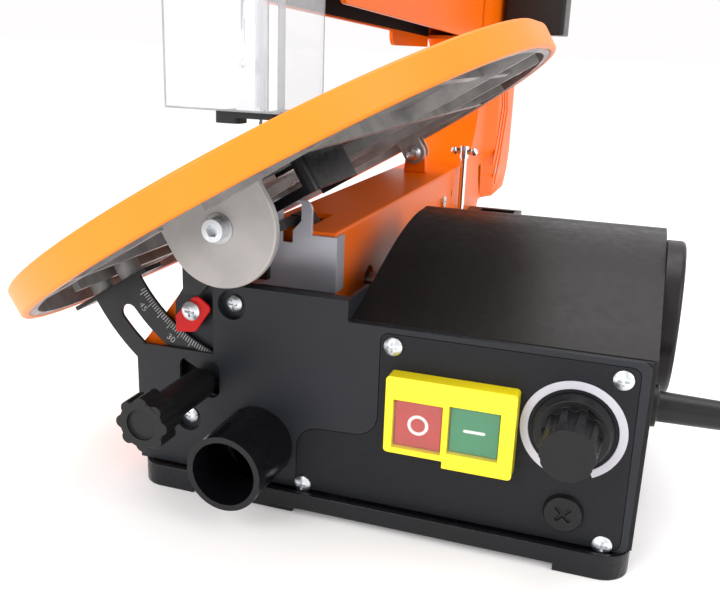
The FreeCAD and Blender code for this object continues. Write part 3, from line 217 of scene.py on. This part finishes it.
def knob_black():
    """Moulded black plastic of knobs and small fittings."""
    plastic = principled("knob_black", (0.006, 0.006, 0.007), 0.38, Specular_IOR_Level=0.3)
    uneven_gloss(plastic, 150.0, 0.32, 0.46)
    return grain(plastic, 900.0, 0.15, 0.0002)


def lead_black():
    """Smooth black PVC of the mains lead."""
    plastic = principled("lead_black", (0.006, 0.006, 0.0065), 0.34, Specular_IOR_Level=0.35)
    uneven_gloss(plastic, 90.0, 0.30, 0.42)
    return grain(plastic, 600.0, 0.10, 0.0002)


def switch_yellow():
    """Glossy yellow plastic of the switch frame."""
    plastic = principled("switch_yellow", (0.93, 0.74, 0.004), 0.24, Coat_Weight=0.3, Coat_Roughness=0.08)
    mottle(plastic, 30.0, (0.90, 0.71, 0.004), (0.95, 0.77, 0.005))
    return plastic


def stop_red():
    """Glossy red plastic of the stop button."""
    plastic = principled("stop_red", (0.42, 0.016, 0.020), 0.25)
    mottle(plastic, 60.0, (0.38, 0.014, 0.018), (0.46, 0.018, 0.022))
    return plastic


def start_green():
    """Glossy green plastic of the start button."""
    plastic = principled("start_green", (0.002, 0.20, 0.085), 0.25)
    mottle(plastic, 60.0, (0.002, 0.19, 0.08), (0.003, 0.21, 0.09))
    return plastic


def white_print():
    """White moulded or printed marks."""
    ink = principled("white_print", (0.80, 0.80, 0.80), 0.45)
    mottle(ink, 120.0, (0.76, 0.76, 0.76), (0.84, 0.84, 0.84))
    return ink


def scale_print():
    """Dull white marks of the tilt scale."""
    ink = principled("scale_print", (0.34, 0.34, 0.34), 0.5)
    mottle(ink, 200.0, (0.26, 0.26, 0.26), (0.42, 0.42, 0.42))
    return ink


def dial_grey():
    """Light grey plastic of the dial ring."""
    plastic = principled("dial_grey", (0.52, 0.51, 0.56), 0.30)
    mottle(plastic, 50.0, (0.50, 0.49, 0.54), (0.54, 0.53, 0.58))
    return plastic


def pointer_red():
    """Glossy red paint of the pointer."""
    paint = principled("pointer_red", (0.60, 0.007, 0.006), 0.26, Specular_IOR_Level=0.2)
    mottle(paint, 80.0, (0.57, 0.006, 0.005), (0.63, 0.008, 0.007))
    return paint


def zinc():
    """Bright zinc plate of the screws."""
    metal = principled("zinc", (0.70, 0.73, 0.76), 0.33, 1.0)
    uneven_gloss(metal, 400.0, 0.26, 0.42)
    return metal


def chrome():
    """Polished chrome of the hex wrench."""
    metal = principled("chrome", (0.78, 0.78, 0.78), 0.12, 1.0)
    uneven_gloss(metal, 200.0, 0.08, 0.18)
    return metal


def steel():
    """Machined steel."""
    metal = principled("steel", (0.42, 0.42, 0.42), 0.34, 1.0)
    uneven_gloss(metal, 300.0, 0.26, 0.42)
    return metal


def black_steel():
    """Black oxide on steel."""
    metal = principled("black_steel", (0.008, 0.009, 0.010), 0.36, 0.0, Specular_IOR_Level=0.35)
    uneven_gloss(metal, 150.0, 0.30, 0.44)
    return grain(metal, 800.0, 0.12, 0.0002)


def insert_black():
    """Black plastic of the table insert."""
    plastic = principled("insert_black", (0.008, 0.008, 0.009), 0.42, Specular_IOR_Level=0.3)
    return grain(plastic, 900.0, 0.15, 0.0002)


def circuit_green():
    """Circuit board."""
    board = principled("circuit_green", (0.02, 0.14, 0.05), 0.4)
    mottle(board, 220.0, (0.015, 0.11, 0.04), (0.03, 0.17, 0.06))
    return board


def highlight_white():
    """Painted highlight: a bright strip on the guard's front wall, standing in for a reflection on the clear
    plastic.
    """
    plastic = principled("highlight_white", (0.86, 0.86, 0.87), 0.3, Alpha=0.75)
    mottle(plastic, 90.0, (0.84, 0.84, 0.85), (0.88, 0.88, 0.89))
    return plastic


def guard_shade_grey():
    """Painted shade: grey strips at the guard's front-right corner and along its edges, standing in for the
    darkening of the clear plastic there.
    """
    plastic = principled("guard_shade_grey", (0.33, 0.32, 0.33), 0.35, Alpha=0.55)
    mottle(plastic, 60.0, (0.29, 0.28, 0.29), (0.37, 0.36, 0.37))
    return plastic


def shade_black():
    """Painted shade: flat black standing in for the shade in holes, slits and the upper channel."""
    painted_shade = principled("shade_black", (0.003, 0.003, 0.003), 0.6, Specular_IOR_Level=0.1)
    return mottle(painted_shade, 50.0, (0.002, 0.002, 0.002), (0.004, 0.004, 0.004))


def button_cover():
    """Clear film over the push buttons."""
    film = principled("button_cover", (0.60, 0.58, 0.50), 0.22, Alpha=0.06, Specular_IOR_Level=0.3)
    uneven_gloss(film, 60.0, 0.14, 0.24)
    return film


def clear_guard():
    """Clear polycarbonate, seen through with a slight haze."""
    plastic = principled("clear_guard", (0.88, 0.89, 0.92), 0.12, Alpha=0.26, IOR=1.45, Coat_Weight=0.5,
                         Coat_Roughness=0.05)
    uneven_gloss(plastic, 25.0, 0.08, 0.16)
    return plastic


MATERIALS = {
    "orange_paint": orange_paint(),
    "rim_orange": rim_paint(),
    "table_casting": table_casting(),
    "blasted_grey": blasted_grey(),
    "sheet_grey": sheet_grey(),
    "cast_black": cast_black(),
    "charcoal_plastic": charcoal_plastic(),
    "panel_black": panel_black(),
    "cover_black": cover_black(),
    "port_black": port_black(),
    "knob_black": knob_black(),
    "lead_black": lead_black(),
    "switch_yellow": switch_yellow(),
    "stop_red": stop_red(),
    "start_green": start_green(),
    "dial_grey": dial_grey(),
    "pointer_red": pointer_red(),
    "zinc": zinc(),
    "chrome": chrome(),
    "steel": steel(),
    "black_steel": black_steel(),
    "insert_black": insert_black(),
    "circuit_green": circuit_green(),
    "clear_guard": clear_guard(),
    # painted light: the next three stand in for a highlight on the guard, shade on the guard and shade in
    # holes
    "highlight_white": highlight_white(),
    "guard_shade_grey": guard_shade_grey(),
    "shade_black": shade_black(),
    "button_cover": button_cover(),
    "white_print": white_print(),
    "scale_print": scale_print(),
    "ground_top": ground_top(),
}
NODE_SLOT = {part["node"]: part["material_slot"] for part in frame["record"]["subparts"]}


# ---- Mesh helpers ---------------------------------------------------------------------------

def add_piece(name, bm, body, material, bevel=0.0):
    """Makes an object from a bmesh, softens its edges and lets it ride on a body."""
    mesh = bpy.data.meshes.new(name)
    bmesh.ops.recalc_face_normals(bm, faces=bm.faces)
    bm.to_mesh(mesh)
    bm.free()
    obj = bpy.data.objects.new(name, mesh)
    bpy.context.scene.collection.objects.link(obj)
    mesh.materials.append(MATERIALS[material])
    soften(obj, bevel)
    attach(obj, body)
    return obj


def soften(obj, bevel):
    """Bevels an object's sharp edges and shades it smooth between them."""
    sharp_angle = math.radians(35.0)
    mesh = obj.data
    mesh.shade_smooth()
    mesh.set_sharp_from_angle(angle=sharp_angle)
    if bevel > 0:
        modifier = obj.modifiers.new("edges", "BEVEL")
        modifier.width = bevel
        modifier.segments = 2
        modifier.limit_method = "ANGLE"
        modifier.angle_limit = sharp_angle
        modifier.harden_normals = True
        modifier.use_clamp_overlap = True


def drawn_on(plane, a, b, depth):
    """The point (a, b) of an XY, XZ or YZ drawing at a depth along the third axis."""
    if plane == "XY":
        return Vector((a, b, depth))
    if plane == "XZ":
        return Vector((a, depth, b))
    return Vector((depth, a, b))


def rounded(points, steps=6):
    """The points of a closed outline whose corners (a, b, radius) are turned into arcs."""
    result = []
    for index, point in enumerate(points):
        corner = Vector(point[:2])
        radius = point[2] if len(point) > 2 else 0.0
        if radius <= 0:
            result.append(corner)
            continue
        before = (Vector(points[index - 1][:2]) - corner).normalized()
        after = (Vector(points[(index + 1) % len(points)][:2]) - corner).normalized()
        half = before.angle(after) / 2
        centre = corner + (before + after).normalized() * (radius / math.sin(half))
        start = corner + before * (radius / math.tan(half)) - centre
        turn = start.angle_signed(corner + after * (radius / math.tan(half)) - centre)
        for step in range(steps + 1):
            result.append(centre + Matrix.Rotation(-turn * step / steps, 2) @ start)
    return result


def slab(points, plane, low, high, bm=None):
    """Extrudes an outline in millimetres from one depth to another."""
    bm = bm or bmesh.new()
    points = rounded(points)
    rings = []
    for depth in (low, high):
        rings.append([bm.verts.new(drawn_on(plane, p[0], p[1], depth) * MM) for p in points])
    count = len(points)
    bm.faces.new(rings[0])
    bm.faces.new(list(reversed(rings[1])))
    for index in range(count):
        other = (index + 1) % count
        bm.faces.new((rings[0][index], rings[0][other], rings[1][other], rings[1][index]))
    return bm


def rectangle(a0, a1, b0, b1, radius=0.0):
    """The corners of a rounded rectangle."""
    return [(a0, b0, radius), (a1, b0, radius), (a1, b1, radius), (a0, b1, radius)]


# ---- Camera and mains lead ------------------------------------------------------------------

def make_camera():
    """The photograph's viewing angle."""
    place, focal_length, sensor_width = (0.1715, -0.3645, 0.2332), 42.26, 36.0
    right = Vector((0.9462, 0.3218, 0.0347)).normalized()
    up = Vector((-0.12456, 0.26318, 0.95667)).normalized()
    camera = bpy.data.cameras.new("camera")
    camera.lens = focal_length
    camera.sensor_width = sensor_width
    camera.clip_start, camera.clip_end = 0.01, 50.0
    obj = bpy.data.objects.new("camera", camera)
    bpy.context.scene.collection.objects.link(obj)
    back = right.cross(up).normalized()
    up = back.cross(right)
    turn = Matrix((right, up, back)).transposed().to_4x4()
    obj.matrix_world = Matrix.Translation(place) @ turn
    bpy.context.scene.camera = obj


def coil_points():
    """The lead's coiled turns on the floor: three turns below and three on top."""
    points = []
    turns = ((0.0415, 0.00375), (0.0485, 0.00375), (0.0335, 0.0045), (0.041, 0.0108), (0.0485, 0.0112),
             (0.034, 0.0112))
    per_turn, extra_points, start, shift_from = 12, 4, math.radians(-60), 0.7
    for index in range(1, len(turns) * per_turn + extra_points + 1):
        turn = min(index // per_turn, len(turns) - 1)
        here, following = turns[turn], turns[min(turn + 1, len(turns) - 1)]
        share = max(0.0, ((index % per_turn) / per_turn - shift_from) / (1 - shift_from))
        radius = here[0] + (following[0] - here[0]) * share
        height = here[1] + (following[1] - here[1]) * share
        angle = start + 2 * math.pi * index / per_turn
        x, y = COIL_CENTRE[0] + radius * math.cos(angle), COIL_CENTRE[1] + radius * math.sin(angle)
        points.append((x, y, height))
    return points


def make_lead():
    """The whole mains lead as one curve, from the strain relief through the coil to the plug."""
    tail = [(COIL_CENTRE[0] + x, COIL_CENTRE[1] + y, z) for x, y, z in PLUG_TAIL]
    points = list(LEAD_ROUTE) + coil_points() + tail
    curve = bpy.data.curves.new("mains_lead", "CURVE")
    curve.dimensions = "3D"
    curve.bevel_depth = LEAD_DIAMETER / 2
    curve.bevel_resolution = 6
    curve.resolution_u = 8
    curve.use_fill_caps = True
    spline = curve.splines.new("NURBS")
    spline.points.add(len(points) - 1)
    for point, place in zip(spline.points, points):
        point.co = (*place, 1.0)
    spline.order_u = 3
    spline.use_endpoint_u = True
    curve.materials.append(MATERIALS["lead_black"])
    lead = bpy.data.objects.new("mains_lead", curve)
    bpy.context.scene.collection.objects.link(lead)
    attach(lead, "frame")
    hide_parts("cord_lead", "cord_coil")
    return lead


# ---- CAD nodes with materials and softened edges ----------------------------------------------

SOFT_EDGE = {
    "base_plate": 1.4, "lower_housing": 1.2, "rear_column": 2.2, "upper_housing": 1.5, "front_cover": 0.7,
    "control_panel": 0.7, "motor_cover": 1.5, "switch_housing": 0.8, "stop_button": 0.6, "start_button": 0.6,
    "speed_knob": 0.5, "fuse_cap": 0.5, "tilt_lock_knob": 1.2, "table_rim": 1.6, "table_top": 0.8,
    "front_trunnion": 1.2, "rear_trunnion": 1.0, "front_sheet_bracket": 0.4, "scale_bracket": 0.4,
    "dust_hood": 0.8, "storage_box": 1.0, "storage_lid": 0.8, "tool_holder": 1.2, "hold_down_knob": 1.0,
    "tension_lever": 1.5, "mains_plug": 2.0, "rear_pivot_post": 1.0, "dust_port": 0.8,
    "cord_strain_relief": 0.6, "hex_wrench": 0.6, "tilt_pointer": 0.4, "hold_down_foot": 0.6,
    "hold_down_bar": 0.4, "blade_guard": 0.5, "motor_body": 1.5,
}
DEFAULT_EDGE = 0.3
PLAIN_NODES = ("cord_lead", "cord_coil")


def grind_upper_face(mesh):
    """Gives the faces that look along the table's upward normal the ground finish."""
    mesh.materials.append(MATERIALS["ground_top"])
    upward = Vector((-math.sin(REST_TILT), 0, math.cos(REST_TILT)))
    for polygon in mesh.polygons:
        if polygon.normal.dot(upward) > 0.99:
            polygon.material_index = 1


def dress_nodes():
    """Gives every CAD node its material, welded and bevelled edges and smooth shading."""
    for name, obj in frame["nodes"].items():
        if name in PLAIN_NODES:
            continue
        mesh = obj.data
        mesh.materials.clear()
        mesh.materials.append(MATERIALS[NODE_SLOT[name]])
        if "custom_normal" in mesh.attributes:
            mesh.attributes.remove(mesh.attributes["custom_normal"])
        if name == "table_top":
            grind_upper_face(mesh)
        mesh.shade_smooth()
        weld = obj.modifiers.new("weld", "WELD")
        weld.merge_threshold = 0.00001
        flat = obj.modifiers.new("flat", "DECIMATE")
        flat.decimate_type = "DISSOLVE"
        flat.angle_limit = math.radians(1.0)
        bevel = obj.modifiers.new("edges", "BEVEL")
        bevel.width = SOFT_EDGE.get(name, DEFAULT_EDGE) * MM
        bevel.segments = 3
        bevel.limit_method = "ANGLE"
        bevel.angle_limit = math.radians(30)
        bevel.harden_normals = True
        bevel.use_clamp_overlap = True


# ---- Details the CAD frame leaves out ---------------------------------------------------------

def ring(centre, back, thick, outer, inner, segments=48):
    """A flat ring that looks to the front. Its centre is (X, Z), in millimetres."""
    bm = bmesh.new()
    front = back - thick
    loops = []
    for depth, radius in ((back, outer), (back, inner), (front, inner), (front, outer)):
        loop = []
        for index in range(segments):
            angle = 2 * math.pi * index / segments
            place = (centre[0] + radius * math.cos(angle), depth, centre[1] + radius * math.sin(angle))
            loop.append(bm.verts.new(Vector(place) * MM))
        loops.append(loop)
    for index in range(segments):
        following = (index + 1) % segments
        for first, second in zip(loops, loops[1:] + loops[:1]):
            bm.faces.new((first[index], first[following], second[following], second[index]))
    return bm


def make_button_marks():
    """A white circle on the stop button, a white dash on the start button, and clear covers."""
    mark, cover_back, cover_front = 0.15, BUTTON_FRAME_FACE + 0.3, BUTTON_FRAME_FACE - 0.3
    stop_centre, start_x, start_z = (85.0, 62.2), 112.0, 63.5
    circle = ring(stop_centre, BUTTON_FACE, mark, 5.1, 3.6)
    add_piece("stop_mark", circle, "stop", "white_print")
    dash = rectangle(start_x - 5.2, start_x + 5.2, start_z - 0.75, start_z + 0.75, 0.7)
    add_piece("start_mark", slab(dash, "XZ", BUTTON_FACE - mark, BUTTON_FACE), "start", "white_print")
    for name, window in (("stop_cover", STOP_BUTTON), ("start_cover", START_BUTTON)):
        cover = slab(rectangle(*window, 1.0), "XZ", cover_front, cover_back)
        add_piece(name, cover, "frame", "button_cover", bevel=0.2 * MM)


def scale_point(radius, degrees, depth):
    """A point on the tilt scale, at an angle from straight down towards the left."""
    angle = math.radians(degrees)
    return Vector((-radius * math.sin(angle), depth, PIVOT_HEIGHT - radius * math.cos(angle))) * MM


def make_scale_marks():
    """Degree ticks and generic angle numbers printed on the tilt scale."""
    mark, first_degree, tick_step, tick_count, half_width = 0.06, 9.6, 0.99, 47, 0.14
    inner, outer_long, outer_short = 81.6, 86.6, 84.8
    bm = bmesh.new()
    for step in range(tick_count):
        outer = outer_long if step % 5 == 0 else outer_short
        centre = first_degree + step * tick_step
        corners = []
        for depth in (SCALE_FACE, SCALE_FACE - mark):
            corners.append([bm.verts.new(scale_point(radius, centre + side * half_width, depth))
                            for radius, side in ((inner, -1), (outer, -1), (outer, 1), (inner, 1))])
        bm.faces.new(corners[0])
        bm.faces.new(list(reversed(corners[1])))
        for index in range(4):
            other = (index + 1) % 4
            bm.faces.new((corners[0][index], corners[0][other], corners[1][other], corners[1][index]))
    add_piece("scale_ticks", bm, "table", "scale_print")
    for text, degrees in (("45", 50.2), ("30", 36.0)):
        make_number(text, degrees, SCALE_FACE - mark)


def make_number(text, degrees, depth):
    """A flat number on the tilt scale whose top points at the pivot."""
    radius, size, half_thick = 89.4, 4.9, 0.02
    curve = bpy.data.curves.new("number_" + text, "FONT")
    curve.body = text
    curve.size = size * MM
    curve.align_x = "CENTER"
    curve.align_y = "CENTER"
    curve.extrude = half_thick * MM
    holder = bpy.data.objects.new("number_" + text, curve)
    bpy.context.scene.collection.objects.link(holder)
    evaluated = holder.evaluated_get(bpy.context.evaluated_depsgraph_get())
    mesh = bpy.data.meshes.new_from_object(evaluated)
    bpy.data.objects.remove(holder)
    bpy.data.curves.remove(curve)
    bm = bmesh.new()
    bm.from_mesh(mesh)
    bpy.data.meshes.remove(mesh)
    upright = Matrix.Rotation(math.radians(90), 4, "X")
    turn = Matrix.Rotation(math.radians(degrees), 4, "Y")
    bm.transform(Matrix.Translation(scale_point(radius, degrees, depth)) @ turn @ upright)
    add_piece("scale_number_" + text, bm, "table", "scale_print")


def make_pivot_washer():
    """Steel washer under the head of the front pivot bolt."""
    gap, thick, outer, inner = 0.05, 0.5, 6.9, 4.9
    washer = ring((0, PIVOT_HEIGHT), TRUNNION_FACE - gap, thick, outer, inner)
    add_piece("pivot_washer", washer, "frame", "steel", bevel=0.1 * MM)


def make_guard_painted_light():
    """Painted light on the clear guard: a bright strip of painted highlight on the front wall, grey strips
    of painted shade at the front-right corner and darker strips of painted shade along its edges.
    """
    inside = GUARD_FRONT + GUARD_WALL + 0.05
    strip_low, strip_high, strip_thick = 205.0, 264.0, 0.4
    # painted highlight: a bright strip standing in for a reflection on the clear front wall
    white = slab(rectangle(1.2, 5.8, strip_low, strip_high), "XZ", inside, inside + strip_thick)
    add_piece("guard_painted_highlight", white, "hold_down", "highlight_white")
    # painted shade: grey strips on the inner faces of both walls at the front-right corner
    grey = slab(rectangle(8.2, 11.6, strip_low, strip_high), "XZ", inside, inside + strip_thick)
    side = GUARD_RIGHT - GUARD_WALL - 0.5
    slab(rectangle(-17.0, -9.5, strip_low, strip_high), "YZ", side, side + strip_thick, grey)
    add_piece("guard_corner_shade", grey, "hold_down", "guard_shade_grey")
    # painted shade: darker strips along the guard's bottom and upright edges
    edge, inset, proud = bmesh.new(), 0.1, 0.15
    bottom, edge_top, top = GUARD_BOTTOM + inset, GUARD_BOTTOM + 1.0, GUARD_TOP - inset
    front_edges = ((GUARD_LEFT + inset, GUARD_RIGHT - inset, bottom, edge_top),
                   (GUARD_LEFT + inset, GUARD_LEFT + 1.0, edge_top + inset, top),
                   (12.6, 13.4, edge_top + inset, top))
    right_edges = ((GUARD_FRONT + inset, GUARD_BACK - inset, bottom, edge_top),
                   (GUARD_BACK - 1.1, GUARD_BACK - inset, edge_top + inset, top))
    for limits in front_edges:
        slab(rectangle(*limits), "XZ", GUARD_FRONT - proud, GUARD_FRONT, edge)
    for limits in right_edges:
        slab(rectangle(*limits), "YZ", GUARD_RIGHT, GUARD_RIGHT + proud, edge)
    add_piece("guard_edge_shade", edge, "hold_down", "guard_shade_grey")


def make_shade_sheets():
    """Painted shade: black sheets inside the upper channel and behind the frame's slits and openings, and a
    black slit painted on the housing's side.
    """
    # painted shade: black sheets on the upper channel's side and roof
    painted_shade = slab([(50, 254), (384, 243.5), (384, 321), (50, 321)], "YZ", -20.95, -20.6)
    slab(rectangle(-20.5, 20.5, 50, 384), "XY", 321.4, 321.9, painted_shade)
    add_piece("upper_channel_shade", painted_shade, "frame", "shade_black")
    # painted shade: a black sheet behind the housing's slits
    backing = slab(rectangle(422, 444, 98, 134), "YZ", HOUSING_SIDE - 3.8, HOUSING_SIDE - 3.3)
    add_piece("slit_back_shade", backing, "frame", "shade_black")
    shade = slab(rectangle(-50, -24.2, 50, 75.5), "XZ", SKIRT_FRONT - 0.3, SKIRT_FRONT - 0.05)
    add_piece("knob_opening_shade", shade, "frame", "shade_black")
    # painted shade: a black slit painted flush on the housing's side
    slit = slab(rectangle(313.8, 315.2, 118.0, 123.4, 0.6), "YZ", HOUSING_SIDE - 0.1, HOUSING_SIDE + 0.06)
    add_piece("housing_slit_shade", slit, "frame", "shade_black")


def make_flank_ribs():
    """Raised ribs on the column's flanks, in step with its faceted back."""
    lines = (
        [(470, 214), (485, 181), (470, 150), (452, 128)],
        [(484, 214), (500, 179), (482, 141), (462, 116)],
        [(498, 214), (516, 176), (494, 132), (474, 108)],
    )
    half_width, height, rooted = 1.5, 0.8, 0.1
    bm = bmesh.new()
    for line in lines:
        for side in (-1, 1):
            left, right = [], []
            for index, point in enumerate(line):
                here = Vector(point)
                ahead = Vector(line[min(index + 1, len(line) - 1)]) - Vector(line[max(index - 1, 0)])
                across = Vector((-ahead.y, ahead.x)).normalized() * half_width
                left.append(tuple(here + across))
                right.append(tuple(here - across))
            low, high = sorted((side * (FLANK_SIDE - rooted), side * (FLANK_SIDE + height)))
            slab(left + list(reversed(right)), "YZ", low, high, bm)
    add_piece("flank_ribs", bm, "frame", "orange_paint", bevel=0.6 * MM)


def make_details():
    """Every piece that is only for looks."""
    make_button_marks()
    make_scale_marks()
    make_pivot_washer()
    make_guard_painted_light()
    make_shade_sheets()
    make_flank_ribs()


# ---- Studio -----------------------------------------------------------------------------------

def area_light(name, place, target, size, power):
    """A square soft light that looks at a point."""
    light = bpy.data.lights.new(name, "AREA")
    light.shape = "SQUARE"
    light.size = size
    light.energy = power
    obj = bpy.data.objects.new(name, light)
    bpy.context.scene.collection.objects.link(obj)
    obj.location = place
    obj.rotation_mode = "QUATERNION"
    obj.rotation_quaternion = (Vector(target) - Vector(place)).to_track_quat("-Z", "Y")


def make_studio():
    """Pale floor, white surroundings and soft lights."""
    white, floor_reach, floor_height = (1.0, 0.985, 0.985, 1.0), 60, -0.0002
    world = bpy.data.worlds.new("studio")
    world.use_nodes = True
    world.node_tree.nodes["Background"].inputs["Color"].default_value = white
    world.node_tree.nodes["Background"].inputs["Strength"].default_value = 1.0
    bpy.context.scene.world = world
    area_light("key", (-0.6, -1.3, 0.9), (0.05, 0.1, 0.1), 0.9, 15.0)
    area_light("fill", (1.4, -0.5, 0.9), (0.05, 0.2, 0.1), 0.9, 8.0)
    area_light("top", (0.2, 0.4, 1.6), (0.05, 0.1, 0.1), 1.0, 10.0)
    bm = bmesh.new()
    signs = ((-1, -1), (1, -1), (1, 1), (-1, 1))
    bm.faces.new([bm.verts.new((x * floor_reach, y * floor_reach, floor_height)) for x, y in signs])
    mesh = bpy.data.meshes.new("floor")
    bm.to_mesh(mesh)
    bm.free()
    floor = bpy.data.objects.new("floor", mesh)
    bpy.context.scene.collection.objects.link(floor)
    pale = principled("floor_pale", (0.96, 0.95, 0.95), 0.9, Emission_Color=white, Emission_Strength=0.08)
    mesh.materials.append(mottle(pale, 1.0, (0.955, 0.945, 0.945), (0.965, 0.955, 0.955)))


make_camera()
lead = make_lead()
dress_nodes()
make_details()
make_studio()
bpy.context.scene.view_settings.view_transform = "Standard"
